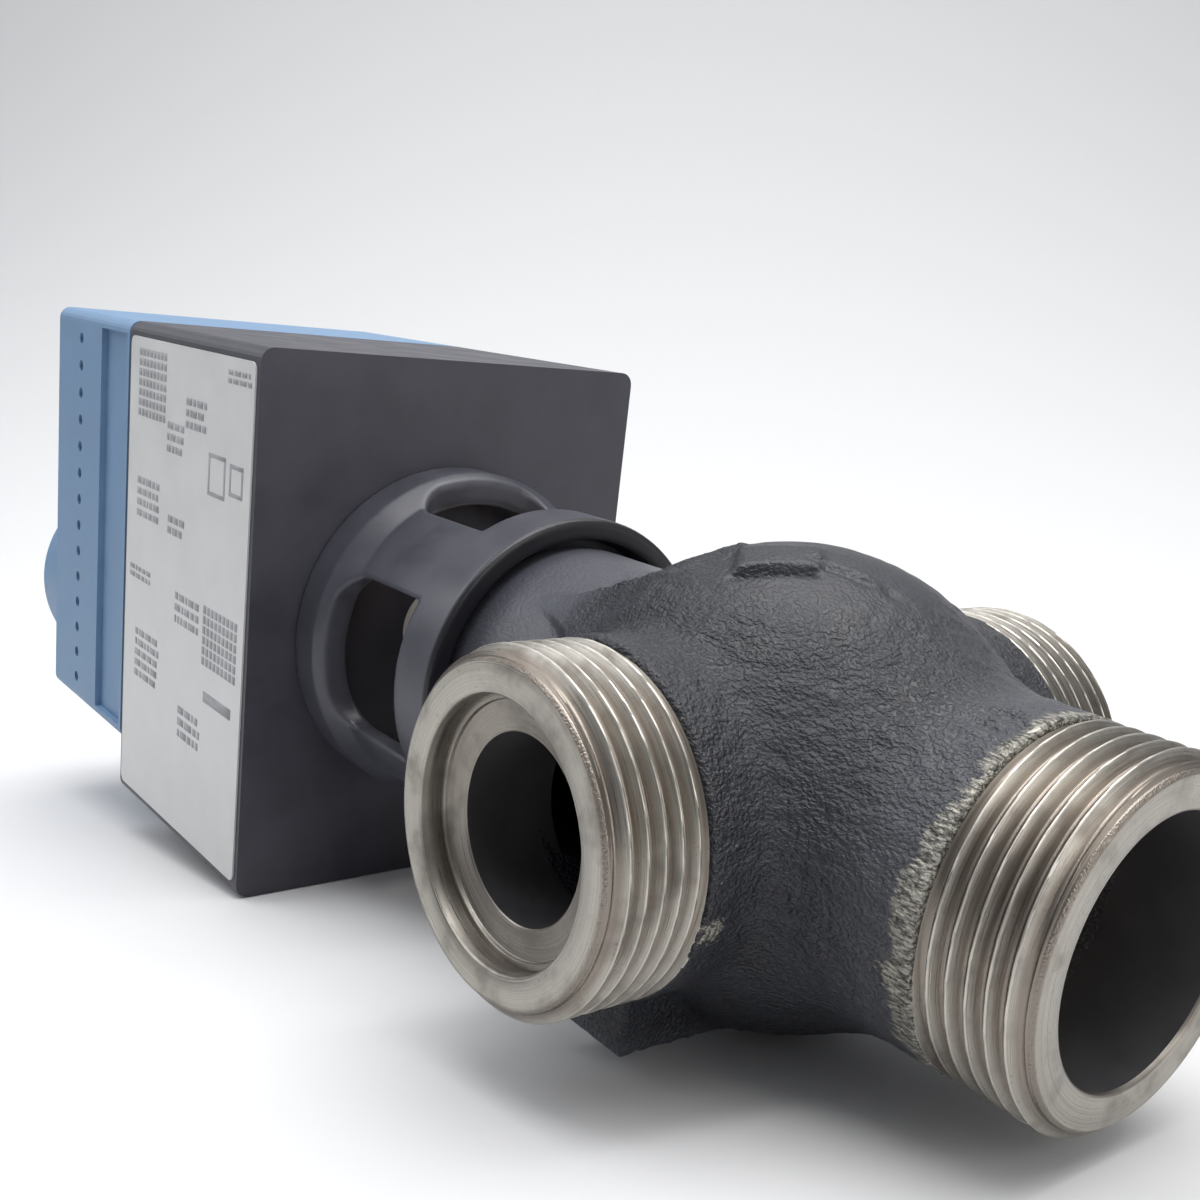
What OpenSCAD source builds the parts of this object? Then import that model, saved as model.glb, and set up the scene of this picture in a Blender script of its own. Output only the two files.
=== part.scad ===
// Three-port seat valve with an electric stem actuator, lying on its side.
// Origin: centre of the axial port's end face. +X points out of that port, the actuator is
// towards -X, the in-line ports point along -Y and +Y, and +Z is up.

/* [Valve body] */
// Reach from the valve centre to the end face of each in-line port
inline_reach = 45; // [44:0.5:50]
// Reach from the valve centre to the end face of the axial port
axial_reach = 52; // [50:0.5:56]
// Radius of the round body shell
shell_r = 31.5; // [31:0.25:33]
// Radius of the neck that carries the yoke
neck_r = 21.8; // [20.5:0.1:22.2]
// Bore radius of the in-line ports
inline_bore_r = 11; // [9:0.25:11.5]
// Bore radius of the axial port
axial_bore_r = 15.2; // [14.6:0.1:15.6]
// Radius of the recess in the mouth of each in-line port
recess_r = 15.5; // [14:0.25:16]
// Depth of that recess
recess_depth = 3.5; // [2:0.25:4]

/* [Port thread] */
// Outside diameter over the thread crests
thread_d = 41.91; // [41.5:0.01:42.2]
// Distance between crests
thread_pitch = 2.309; // [2:0.001:2.4]
// Radial depth of the thread
thread_depth = 1.479; // [1.2:0.001:1.6]
// Number of crests on each port
crests = 5; // [4:1:5]

/* [Stem and seats] */
// Travel of the stem between the two seats
stroke = 5.5; // [3:0.5:5.5]
// Bore radius of both seats
seat_r = 9; // [7:0.25:9.5]
// Radius of the stem
stem_r = 4; // [3:0.25:4.5]
// Radial running clearance of shafts in their holes
running_gap = 0.05; // [0.02:0.01:0.1]

/* [Yoke] */
// Outside radius of the yoke's tube
yoke_r = 26.2; // [25:0.1:27]
// Outside radius of the yoke's foot on the actuator
yoke_foot_r = 28.3; // [28:0.1:30]
// Wall of the yoke's tube
yoke_wall = 3.2; // [2.5:0.1:3.3]
// Width of each of the four windows
window_w = 24.6; // [16:0.5:26]
// Length of each window along the stem
window_l = 20; // [14:0.5:20]

/* [Actuator housing] */
// Depth of the housing along the stem
housing_depth = 56.3; // [56:0.1:60]
// Width of the housing across the stem
housing_w = 73; // [73:0.5:80]
// Height of the housing above the stem axis
housing_top = 46; // [45.5:0.25:50]
// Depth of the housing below the stem axis
housing_bottom = 45; // [44.5:0.25:50]
// Wall thickness
wall = 3; // [2.5:0.1:3]
// Radius of the long edges
edge_r = 2.25; // [2:0.25:4]

/* [Rear cover] */
// Depth of the cover along the stem
cover_depth = 42; // [40:0.5:46]
// Depth of the cover below the stem axis
cover_bottom = 35; // [34.5:0.25:36]
// Number of small holes in the cover's side
vents = 14; // [8:1:14]
// Radius of the hand knob
knob_r = 12; // [10:0.5:12.5]
// Radius of the round boss on the cover's back that the knob sits in
boss_r = 22; // [21:0.25:22]
// Height of that boss
boss_h = 9.6; // [4:0.2:10]
// Height of the hand knob
knob_h = 11.6; // [8:0.2:14]

/* [Gears] */
// Tooth size: pitch diameter divided by the number of teeth
gear_module = 0.8; // [0.8:0.1:0.8]
// Teeth of the drive gear on the stem axis
drive_teeth = 50; // [50:1:50]
// Teeth of each small pinion
pinion_teeth = 14; // [14:1:14]
// Teeth of the second gear's wheel
second_teeth = 42; // [42:1:42]
// Teeth of the first gear's wheel
first_teeth = 36; // [36:1:36]
// Teeth of the pinion on the hand shaft
hand_teeth = 13; // [13:1:13]

/* [Hidden] */
$fn = 96;

// Thread and port mouth
crest_r = thread_d / 2;
root_r = crest_r - thread_depth;
crest_flat = 0.4;
root_flat = 0.35;
mouth_chamfer = 1.45;
tube_r = crest_r + 0.35;
thread_length = mouth_chamfer + crests * thread_pitch + 0.6;

// Passages, measured from the valve centre along the stem axis
upper_seat_x = -1;
web = 5;
lower_seat_x = 24;
ring_length = 6;
chamber_r = 13.5;
upper_chamber_r = 14;
bore_end = 26;
branch_r = 8.5;
ring_r = 14.4;
cavity_r = 21.5;
cavity_end = 18;
upper_cavity = 9;
lower_cavity = 5;
seat_gap = 0.3;

// Neck and bonnet
neck_end = 49;
bonnet_bore_r = 15;
bonnet_shoulder = 34;
bonnet_flange_r = 18;
bonnet_flange = 2;
stud_r = 13;
packing_r = 7;
packing_ring = 3;
packing_floor = 44;
packing_rings = 3;
stud_end = 62;
gland_head = 4;

// Yoke along the stem axis
yoke_front = 45.9;
web_front = neck_end + bonnet_flange;
yoke_web = 3.5;
nut_front = web_front + yoke_web;
nut_length = 10;
nut_flats = 35;
window_front = 55.5;
window_corner_r = 5;
foot_length = 6.2;
flare_length = 4.5;
housing_front = 83.7;
yoke_screw_r = 1.5;
yoke_screw_pcd = 2 * (yoke_r - yoke_wall / 2 + 1.1);

// Coupling and spindle
coupling_front = 67.5;
coupling_length = 10;
coupling_r = 8;
coupling_joint = 72.5;
spindle_r = 5;
spindle_flat = 4.2;
spindle_end = 96;
bush_r = 8;
bush_flange_r = 11;
bush_flange = 1.5;

// Housing
housing_back = housing_front + housing_depth;
front_wall = 3.5;
rear_wall = 3;
inner_w = housing_w - 2 * wall;
floor_x = housing_front + front_wall;
rear_opening = [52, 65];
rear_opening_z = 5.5;
mid_z = (housing_top - housing_bottom) / 2;
housing_h = housing_top + housing_bottom;

// Gear layers along the stem axis: front face of each, measured from the valve centre
tooth_width = 5;
wheel_width = 4;
drive_layer = 91;
second_layer = 97;
first_layer = 102;
plate_front = 107.5;
plate_thick = 2;
plate_back = plate_front + plate_thick;
axle_r = 1.5;
mesh_gap = 0.05;
hub_r = 8;
hub_front = 89.4;
hub_back = 101;

// Tooth form, as shares of the module and in degrees and millimetres
addendum = 0.8;
dedendum = 1.15;
pressure_angle = 20;
tooth_play = 0.12;

// Gear centres in the plane across the stem
function pitch_r(teeth) = teeth * gear_module / 2;
function spacing(a, b) = pitch_r(a) + pitch_r(b) + mesh_gap;
function turned(angle, length) = [length * cos(angle), length * sin(angle)];
second_angle = 60;
first_angle = 180;
motor_angle = 250;
hand_angle = 218.6;
second_at = turned(second_angle, spacing(drive_teeth, pinion_teeth));
first_at = second_at + turned(first_angle, spacing(second_teeth, pinion_teeth));
motor_at = first_at + turned(motor_angle, spacing(first_teeth, pinion_teeth));
hand_at = turned(hand_angle, spacing(drive_teeth, hand_teeth));

// Angle of a tooth on the driven wheel, from a tooth angle on its mate and the line of centres
function meshed(mate_teeth, mate_angle, line, teeth) =
    line + 180 + 180 / teeth - (mate_angle - line) * mate_teeth / teeth;
drive_phase = hand_angle;
hand_phase = meshed(drive_teeth, drive_phase, hand_angle, hand_teeth);
second_phase = meshed(drive_teeth, drive_phase, second_angle, pinion_teeth);
first_phase = meshed(second_teeth, second_phase, first_angle, pinion_teeth);
motor_phase = meshed(first_teeth, first_phase, motor_angle, pinion_teeth);

// Motor
motor_r = 16;
motor_length = 22;
motor_shaft_r = 1.5;
motor_ear = 19;
motor_ear_angle = 50;

// Hand drive
hand_shaft_r = 3;
hand_shaft_start = 90;
knob_gap = 0.4;
cover_back = housing_back + cover_depth;
knob_front = cover_back + knob_gap;
knob_back = knob_front + knob_h;

// Cover
cover_wall = 2.5;
cover_h = housing_top + cover_bottom;
cover_mid_z = (housing_top - cover_bottom) / 2;
strip_depth = 1.2;
strip_front = 2;
strip_width = 14;
vent_r = 1.1;
vent_pitch = 5.4;
vent_depth = 1.4;
vent_x = housing_back + 28;
column_r = 4.5;
screw_r = 1.5;
screw_head_r = 3;
screw_head = 2.2;
column_y = housing_w / 2 - 6;
column_z = [housing_top - 6, -cover_bottom + 6];
boss_at = [boss_r - housing_w / 2 + 0.1, boss_r - cover_bottom];
seal_thick = 0.8;

// Electrics
board_y = 27;
board_thick = 1.6;
board_x = [112, 136];
board_z = [-34, 38];
terminal_ways = 10;
terminal_pitch = 5.6;
gland_at = [124, -20];
plug_at = [124, 2];
entry_r = 8;
gland_hole_r = 4;
gland_out = 15;

// Pillars that carry the gear plate
pillar_r = 4;
pillars = [[30, 38.5], [-29, 38], [29, -36], [-29, -38]];
plate_size = [66, 84];

// Puts a shape drawn about the valve centre where the part's origin wants it
module placed() {
    translate([-axial_reach, 0, 0])
        children();
}

// Draws with local X, Y, Z as Y, Z and stem axis; local Z = 0 sits at depth behind the centre
// and local +Z runs back, away from the actuator
module across(depth) {
    translate([-depth, 0, 0])
        rotate([90, 0, 90])
            children();
}

// A straight cylinder on the stem axis from depth a to depth b, both towards the actuator
module rod(a, b, r) {
    across(max(a, b))
        cylinder(h = abs(b - a), r = r);
}

// The same, moved across the stem to a point [y, z]
module rod_at(at, a, b, r) {
    translate([0, at[0], at[1]])
        rod(a, b, r);
}

// A round hexagon-headed or plain prism on the stem axis
module hex_rod(a, b, flats) {
    across(max(a, b))
        cylinder(h = abs(b - a), r = flats / sqrt(3), $fn = 6);
}

// Outline of a rectangle with round corners, centred
function corner(cx, cy, r, start) = [for (i = [0:6]) [cx, cy] + turned(start + i * 15, r)];
function rounded(w, h, r) = concat(
    corner(w / 2 - r, h / 2 - r, r, 0),
    corner(-w / 2 + r, h / 2 - r, r, 90),
    corner(-w / 2 + r, -h / 2 + r, r, 180),
    corner(w / 2 - r, -h / 2 + r, r, 270)
);

// A block across the stem with round long edges, from depth a to depth b
module rounded_block(a, b, w, h, z, r) {
    translate([0, 0, z])
        across(b)
            linear_extrude(height = b - a)
                polygon(rounded(w, h, r));
}

// Half of a port tube's section, from the valve centre outwards
function thread_points(reach) = [
    for (i = [crests - 1:-1:0])
        let (h = reach - mouth_chamfer - crest_flat / 2 - i * thread_pitch)
            each [
                [root_r, h - thread_pitch / 2 - root_flat / 2],
                [root_r, h - thread_pitch / 2 + root_flat / 2],
                [crest_r, h - crest_flat / 2],
                [crest_r, h + crest_flat / 2]
            ]
];
function tube_points(reach) = concat(
    [[0, 0], [tube_r, 0], [tube_r, reach - thread_length - 1], [root_r, reach - thread_length]],
    thread_points(reach),
    [[crest_r - mouth_chamfer, reach], [0, reach]]
);
module port_tube(reach) {
    rotate_extrude()
        polygon(tube_points(reach));
}

// Bore of an in-line port with its recess, drawn outwards along Z
module inline_bore() {
    translate([0, 0, bore_end])
        cylinder(h = inline_reach, r = inline_bore_r);
    translate([0, 0, inline_reach - recess_depth])
        cylinder(h = recess_depth + 1, r = recess_r);
}

// Oblique passage between an in-line port and its cavity, in the plane of the port axes
module branch(from, to) {
    run = to - from;
    translate([from[0], from[1], 0])
        rotate([0, 0, atan2(run[1], run[0])])
            rotate([0, 90, 0])
                cylinder(h = norm(run), r = branch_r);
}

// Hollow of the casting: a round cavity on each side of the seats, with its passage to a port
module cavities() {
    rod(upper_cavity, cavity_end, cavity_r);
    rod(-cavity_end, -lower_cavity, cavity_r);
    branch([-5, -27], [-13, -16]);
    branch([5, 27], [13, 16]);
}

module lug() {
    lug_w = 14.8;
    lug_bottom = 28;
    lug_face = 29;
    translate([-lug_w / 2, -lug_face, -lug_bottom])
        cube([lug_w, lug_face, lug_bottom]);
}

module valve_body() {
    color([0.10, 0.10, 0.13])
        difference() {
            union() {
                sphere(r = shell_r);
                rod(0, neck_end, neck_r);
                rotate([0, 90, 0])
                    port_tube(axial_reach);
                rotate([90, 0, 0])
                    port_tube(inline_reach);
                rotate([-90, 0, 0])
                    port_tube(inline_reach);
                lug();
            }
            rod(-axial_reach - 1, -lower_seat_x - ring_length, axial_bore_r);
            rod(-lower_seat_x - ring_length - 1, -lower_seat_x, ring_r);
            rod(-lower_seat_x - 1, -upper_seat_x, chamber_r);
            rod(-upper_seat_x - 1, -upper_seat_x + web + 1, seat_r);
            rod(-upper_seat_x + web, bonnet_shoulder + 1, upper_chamber_r);
            rod(bonnet_shoulder, neck_end + 1, bonnet_bore_r);
            rotate([90, 0, 0])
                inline_bore();
            rotate([-90, 0, 0])
                inline_bore();
            cavities();
        }
}

module seat_ring() {
    color([0.70, 0.58, 0.32])
        difference() {
            rod(-lower_seat_x - ring_length, -lower_seat_x, ring_r);
            rod(-lower_seat_x - ring_length - 1, -lower_seat_x + 1, seat_r);
        }
}

// Double-faced plug: closed on the axial seat at rest
module plug() {
    low = lower_seat_x - seat_gap;
    high = upper_seat_x + seat_gap + stroke;
    face_r = seat_r + 2.4;
    nose_r = seat_r - 0.8;
    color([0.72, 0.72, 0.70])
        difference() {
            across(0)
                rotate_extrude()
                    polygon([
                        [0, high - 3.6], [nose_r - 3, high - 3.6], [nose_r, high], [face_r, high],
                        [face_r, high + 3], [seat_r - 2, high + 5], [seat_r - 2, low - 5],
                        [face_r, low - 3], [face_r, low], [nose_r, low], [nose_r - 3, low + 3.6],
                        [0, low + 3.6]
                    ]);
            rod(-low - 5, -high + 5, stem_r);
        }
}

module stem() {
    low = lower_seat_x - seat_gap + 3.6;
    color([0.78, 0.78, 0.77])
        rod(-low, coupling_joint, stem_r);
}

module bonnet() {
    color([0.74, 0.60, 0.33])
        difference() {
            union() {
                rod(bonnet_shoulder, neck_end, bonnet_bore_r);
                rod(neck_end, neck_end + bonnet_flange, bonnet_flange_r);
                rod(neck_end, stud_end, stud_r);
            }
            rod(bonnet_shoulder - 1, stud_end + 1, stem_r + running_gap);
            rod(packing_floor, stud_end + 1, packing_r);
            bonnet_groove();
        }
}

// Ring groove round the bonnet's plug, which the seal fills
module bonnet_groove() {
    groove = 2.6;
    difference() {
        rod(bonnet_shoulder + 3, bonnet_shoulder + 3 + groove, bonnet_bore_r + 1);
        rod(bonnet_shoulder + 2, bonnet_shoulder + 4 + groove, bonnet_bore_r - 2);
    }
}

module bonnet_seal() {
    seal_r = 0.95;
    color([0.08, 0.08, 0.08])
        across(bonnet_shoulder + 4.3)
            rotate_extrude()
                translate([bonnet_bore_r - seal_r - 0.03, 0])
                    circle(r = seal_r, $fn = 24);
}

module stem_packing() {
    color([0.90, 0.90, 0.86])
        for (i = [0:packing_rings - 1])
            let (start = packing_floor + i * packing_ring)
                difference() {
                    rod(start, start + packing_ring - 0.05, packing_r);
                    rod(start - 1, start + packing_ring + 1, stem_r + running_gap);
                }
}

module gland_nut() {
    color([0.74, 0.60, 0.33])
        difference() {
            union() {
                rod(packing_floor + packing_rings * packing_ring, stud_end, packing_r);
                hex_rod(stud_end, stud_end + gland_head, 17);
            }
            rod(packing_floor, stud_end + gland_head + 1, stem_r + 2 * running_gap);
        }
}

module yoke() {
    inner_r = yoke_r - yoke_wall;
    flare_end = housing_front - foot_length;
    color([0.09, 0.09, 0.10])
        difference() {
            union() {
                rod(yoke_front, housing_front, yoke_r);
                across(housing_front)
                    cylinder(h = foot_length, r = yoke_foot_r);
                across(flare_end)
                    cylinder(h = flare_length, r1 = yoke_foot_r, r2 = yoke_r);
            }
            rod(yoke_front - 1, web_front, inner_r);
            rod(web_front - 1, nut_front + 1, stud_r + 0.1);
            rod(nut_front, housing_front + 1, inner_r);
            for (turn = [0:90:270])
                rotate([turn, 0, 0])
                    window();
            yoke_screw_places()
                cylinder(h = 5, r = yoke_screw_r);
        }
}

// One window through the yoke's wall, with round corners on the actuator side
module window() {
    translate([-window_front, 0, 0])
        rotate([0, 0, 90])
            linear_extrude(height = yoke_foot_r + 2)
                window_outline(window_corner_r);
}
module window_outline(r) {
    polygon(concat(
        [[-window_w / 2, 0], [window_w / 2, 0]],
        corner(window_w / 2 - r, window_l - r, r, 0),
        corner(-window_w / 2 + r, window_l - r, r, 90)
    ));
}

// Screw places round the yoke's foot, between the windows, drawn towards the valve
module yoke_screw_places() {
    across(housing_front)
        for (turn = [45:90:315])
            rotate(turn)
                translate([yoke_screw_pcd / 2, 0, 0])
                    children();
}

module yoke_nut() {
    color([0.76, 0.56, 0.30])
        difference() {
            hex_rod(nut_front, nut_front + nut_length, nut_flats);
            rod(nut_front - 1, nut_front + nut_length + 1, stud_r);
        }
}

module yoke_screws() {
    color([0.6, 0.6, 0.6])
        yoke_screw_places()
            union() {
                translate([0, 0, -front_wall])
                    cylinder(h = front_wall + 4.5, r = yoke_screw_r);
                translate([0, 0, -front_wall - screw_head])
                    cylinder(h = screw_head, r = 2.6);
            }
}

module stem_coupling() {
    color([0.76, 0.56, 0.30])
        difference() {
            rod(coupling_front, coupling_front + coupling_length, coupling_r);
            rod(coupling_front - 1, coupling_joint, stem_r);
            rod(coupling_joint, coupling_front + coupling_length + 1, spindle_r);
            coupling_cross(1.25, 9);
        }
}

// Cross hole of the coupling's screw, through one wall down to the stem
module coupling_cross(r, length) {
    translate([-coupling_front - 2.5, 0, stem_r])
        cylinder(h = length, r = r);
}

module coupling_screw() {
    color([0.45, 0.45, 0.47])
        coupling_cross(1.25, coupling_r - stem_r - 0.3);
}

module drive_spindle() {
    color([0.70, 0.70, 0.70])
        intersection() {
            rod(coupling_joint, spindle_end, spindle_r);
            union() {
                rod(coupling_joint - 1, coupling_front + coupling_length, spindle_r + 1);
                across(spindle_end + 1)
                    translate([-spindle_r - 1, -spindle_flat, 0])
                        cube([2 * spindle_r + 2, 2 * spindle_flat, 40]);
            }
        }
}

module spindle_bush() {
    color([0.85, 0.84, 0.80])
        difference() {
            union() {
                rod(housing_front, floor_x, bush_r);
                rod(floor_x, floor_x + bush_flange, bush_flange_r);
            }
            intersection() {
                rod(housing_front - 1, floor_x + bush_flange + 1, spindle_r + running_gap);
                across(floor_x + bush_flange + 2)
                    translate([-spindle_r - 1, -spindle_flat - running_gap, 0])
                        cube([2 * spindle_r + 2, 2 * (spindle_flat + running_gap), 10]);
            }
        }
}

module housing() {
    color([0.10, 0.10, 0.12])
        difference() {
            union() {
                difference() {
                    rounded_block(housing_front, housing_back, housing_w, housing_h, mid_z, edge_r);
                    rounded_block(floor_x, housing_back - rear_wall, inner_w, housing_h - 2 * wall,
                        mid_z, edge_r - 1);
                }
                for (at = pillars)
                    rod_at(at, floor_x - 1, plate_front, pillar_r);
                for (x = [board_x[0] + 4, board_x[1] - 4], z = [board_z[0] + 4, board_z[1] - 4])
                    board_post(x, z);
            }
            rod(housing_front - 1, floor_x + 1, bush_r);
            yoke_screw_places()
                translate([0, 0, -front_wall - 1])
                    cylinder(h = front_wall + 2, r = yoke_screw_r);
            for (at = pillars)
                rod_at(at, plate_front - 8, plate_front + 1, screw_r);
            for (at = [second_at, first_at])
                rod_at(at, floor_x - 1.5, floor_x + 1, axle_r);
            rounded_block(housing_back - rear_wall - 1, housing_back + 1, rear_opening[0],
                rear_opening[1], rear_opening_z, 4);
            for (y = [-column_y, column_y], z = column_z)
                rod_at([y, z], housing_back - rear_wall - 1, housing_back + 1, screw_r);
            for (at = [gland_at, plug_at])
                translate([-at[0], housing_w / 2 + 1, at[1]])
                    rotate([90, 0, 0])
                        cylinder(h = wall + 2, r = entry_r);
        }
}

// Post on the side wall that carries a corner of the circuit board
module board_post(x, z) {
    translate([-x, board_y + board_thick, z])
        rotate([-90, 0, 0])
            difference() {
                cylinder(h = housing_w / 2 - wall - board_y - board_thick + 0.5, r = 2.6);
                translate([0, 0, -1])
                    cylinder(h = 5, r = 0.9);
            }
}

module gear_plate() {
    color([0.66, 0.67, 0.68])
        difference() {
            rounded_block(plate_front, plate_back, plate_size[0], plate_size[1], mid_z + 0.5, 3);
            for (at = pillars)
                rod_at(at, plate_front - 1, plate_back + 1, screw_r);
            for (at = [second_at, first_at])
                rod_at(at, plate_front - 1, plate_back + 1, axle_r);
            rod_at(motor_at, plate_front - 1, plate_back + 1, 4);
            rod_at(hand_at, plate_front - 1, plate_back + 1, hand_shaft_r + running_gap);
            for (side = [-1, 1])
                rod_at(motor_at + turned(motor_ear_angle, side * motor_ear), plate_front - 1,
                    plate_back + 1, 1.25);
        }
}

module plate_screws() {
    color([0.6, 0.6, 0.6])
        for (at = pillars) {
            rod_at(at, plate_front - 7.5, plate_back, screw_r);
            rod_at(at, plate_back, plate_back + screw_head, screw_head_r);
        }
}

module gear_axles() {
    color([0.75, 0.75, 0.75])
        for (at = [second_at, first_at])
            rod_at(at, floor_x - 1.5, plate_back, axle_r);
}

// Radial positions and half-angles of an involute tooth
function roll(r, base) = r > base ? sqrt(pow(r / base, 2) - 1) * 180 / PI : 0;
function spread(r, base) = roll(r, base) - atan(roll(r, base) * PI / 180);
function half_tooth(r, teeth) =
    let (base = pitch_r(teeth) * cos(pressure_angle))
        90 / teeth - tooth_play / 2 / pitch_r(teeth) * 180 / PI
            + spread(pitch_r(teeth), base) - spread(max(r, base), base);
function tooth_radii(teeth) =
    let (low = pitch_r(teeth) - dedendum * gear_module, high = pitch_r(teeth) + addendum * gear_module)
        [for (i = [0:4]) low + (high - low) * i / 4];
function gear_points(teeth, phase) = [
    for (k = [0:teeth - 1])
        let (mid = phase + k * 360 / teeth, radii = tooth_radii(teeth))
            each concat(
                [for (r = radii) turned(mid - half_tooth(r, teeth), r)],
                [for (i = [4:-1:0]) turned(mid + half_tooth(radii[i], teeth), radii[i])]
            )
];

// A spur wheel from depth a to depth b about the point at
module wheel(at, a, b, teeth, phase) {
    translate([0, at[0], at[1]])
        across(b)
            linear_extrude(height = b - a)
                polygon(gear_points(teeth, phase));
}

module drive_gear() {
    color([0.86, 0.84, 0.78])
        difference() {
            union() {
                wheel([0, 0], drive_layer, drive_layer + tooth_width, drive_teeth, drive_phase);
                rod(hub_front, hub_back, hub_r);
            }
            rod(hub_front - 1, hub_back + 1, spindle_r + running_gap);
        }
}

// Washers that carry the drive gear's hub on the bush and on the gear plate
module drive_bearings() {
    color([0.75, 0.75, 0.75]) {
        difference() {
            rod(floor_x + bush_flange, hub_front - 0.1, bush_flange_r - 1);
            rod(floor_x, hub_front + 1, spindle_r + 1);
        }
        difference() {
            rod(hub_back + 0.1, plate_front, hub_r + 0.6);
            rod(hub_back - 1, plate_front + 1, hub_r - 1.5);
        }
    }
}

module second_gear() {
    color([0.90, 0.88, 0.82])
        difference() {
            union() {
                wheel(second_at, drive_layer, second_layer + 1, pinion_teeth, second_phase);
                wheel(second_at, second_layer, second_layer + wheel_width, second_teeth, second_phase);
                rod_at(second_at, second_layer, plate_front - 0.2, 3.5);
                rod_at(second_at, floor_x + 0.2, drive_layer + 1, 3);
            }
            rod_at(second_at, floor_x - 1, plate_front + 1, axle_r + running_gap);
        }
}

module first_gear() {
    color([0.90, 0.88, 0.82])
        difference() {
            union() {
                wheel(first_at, second_layer, first_layer + 1, pinion_teeth, first_phase);
                wheel(first_at, first_layer, first_layer + wheel_width, first_teeth, first_phase);
                rod_at(first_at, first_layer, plate_front - 0.2, 3.5);
                rod_at(first_at, floor_x + 0.2, second_layer + 1, 3);
            }
            rod_at(first_at, floor_x - 1, plate_front + 1, axle_r + running_gap);
        }
}

module motor() {
    color([0.62, 0.63, 0.65])
        difference() {
            union() {
                rod_at(motor_at, plate_back, plate_back + motor_length, motor_r);
                rod_at(motor_at, plate_front, plate_back + 1, 4);
                for (side = [-1, 1])
                    rod_at(motor_at + turned(motor_ear_angle, side * motor_ear), plate_back,
                        plate_back + 1.5, 4);
            }
            rod_at(motor_at, plate_front - 1, plate_back + 16, motor_shaft_r + running_gap);
            for (side = [-1, 1])
                rod_at(motor_at + turned(motor_ear_angle, side * motor_ear), plate_back - 1,
                    plate_back + 2, 1.25);
        }
}

module motor_shaft() {
    color([0.75, 0.75, 0.75])
        rod_at(motor_at, first_layer, plate_back + 15, motor_shaft_r);
}

module motor_pinion() {
    color([0.76, 0.60, 0.34])
        difference() {
            wheel(motor_at, first_layer, first_layer + wheel_width, pinion_teeth, motor_phase);
            rod_at(motor_at, first_layer - 1, first_layer + wheel_width + 1, motor_shaft_r);
        }
}

module motor_screws() {
    color([0.6, 0.6, 0.6])
        for (side = [-1, 1])
            let (at = motor_at + turned(motor_ear_angle, side * motor_ear)) {
                rod_at(at, plate_front, plate_back + 1.5, 1.25);
                rod_at(at, plate_back + 1.5, plate_back + 3, 2.2);
            }
}

module hand_pinion() {
    color([0.90, 0.88, 0.82])
        difference() {
            wheel(hand_at, drive_layer, drive_layer + tooth_width, hand_teeth, hand_phase);
            rod_at(hand_at, drive_layer - 1, drive_layer + tooth_width + 1, hand_shaft_r);
        }
}

module hand_shaft() {
    color([0.72, 0.72, 0.72])
        rod_at(hand_at, hand_shaft_start, knob_back - 4, hand_shaft_r);
}

module hand_knob() {
    flutes = 16;
    flute_r = 1.6;
    color([0.36, 0.52, 0.74])
        difference() {
            rod_at(hand_at, knob_front, knob_back, knob_r);
            for (i = [0:flutes - 1])
                rod_at(hand_at + turned(i * 360 / flutes, knob_r + flute_r * 0.5), knob_front + 2,
                    knob_back + 1, flute_r);
            rod_at(hand_at, knob_front - 1, knob_back - 4, hand_shaft_r);
            rod_at(hand_at, knob_back - 5, knob_back + 1, 1.5);
            rod_at(hand_at, knob_back - 2, knob_back + 1, 5);
        }
}

module knob_screw() {
    color([0.6, 0.6, 0.6]) {
        rod_at(hand_at, knob_back - 4, knob_back - 2, 1.5);
        rod_at(hand_at, knob_back - 2, knob_back - 0.4, screw_head_r);
    }
}

// A point on the board, given along the stem and upwards
module on_board(x, z, y = board_y) {
    translate([-x, y, z])
        children();
}

module circuit_board() {
    color([0.10, 0.34, 0.18])
        difference() {
            on_board(board_x[1], board_z[0])
                cube([board_x[1] - board_x[0], board_thick, board_z[1] - board_z[0]]);
            board_corners()
                cylinder(h = 4, r = 0.9);
        }
}

// The board's four screw places, drawn towards the side wall
module board_corners() {
    for (x = [board_x[0] + 4, board_x[1] - 4], z = [board_z[0] + 4, board_z[1] - 4])
        on_board(x, z, board_y - 1)
            rotate([-90, 0, 0])
                children();
}

module board_screws() {
    color([0.6, 0.6, 0.6])
        board_corners() {
            translate([0, 0, -0.6])
                cylinder(h = 1.6, r = 1.9);
            translate([0, 0, 1])
                cylinder(h = 4, r = 0.9);
        }
}

module terminal_block() {
    block_l = terminal_ways * terminal_pitch;
    color([0.20, 0.45, 0.30])
        difference() {
            on_board(135.8, -block_l / 2 + 2, board_y - 10)
                cube([12, 10, block_l]);
            for (i = [0:terminal_ways - 1])
                let (z = 2 - block_l / 2 + (i + 0.5) * terminal_pitch) {
                    on_board(137, z, board_y - 3.4)
                        rotate([0, 90, 0])
                            cylinder(h = 8, r = 1.5);
                    on_board(131, z, board_y - 11)
                        rotate([-90, 0, 0])
                            cylinder(h = 4, r = 1.7);
                }
        }
}

module capacitor() {
    color([0.75, 0.62, 0.20])
        on_board(118, 8, board_y)
            rotate([90, 0, 0])
                cylinder(h = 14, r = 5.5);
}

module cover_seal() {
    color([0.12, 0.12, 0.12])
        difference() {
            rounded_block(housing_back, housing_back + seal_thick, housing_w - 1.6, cover_h - 1.6,
                cover_mid_z, edge_r);
            rounded_block(housing_back - 1, housing_back + seal_thick + 1, rear_opening[0] + 1,
                rear_opening[1] + 1, rear_opening_z, 4);
            for (y = [-column_y, column_y], z = column_z)
                rod_at([y, z], housing_back - 1, housing_back + 2, screw_r);
        }
}

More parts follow.
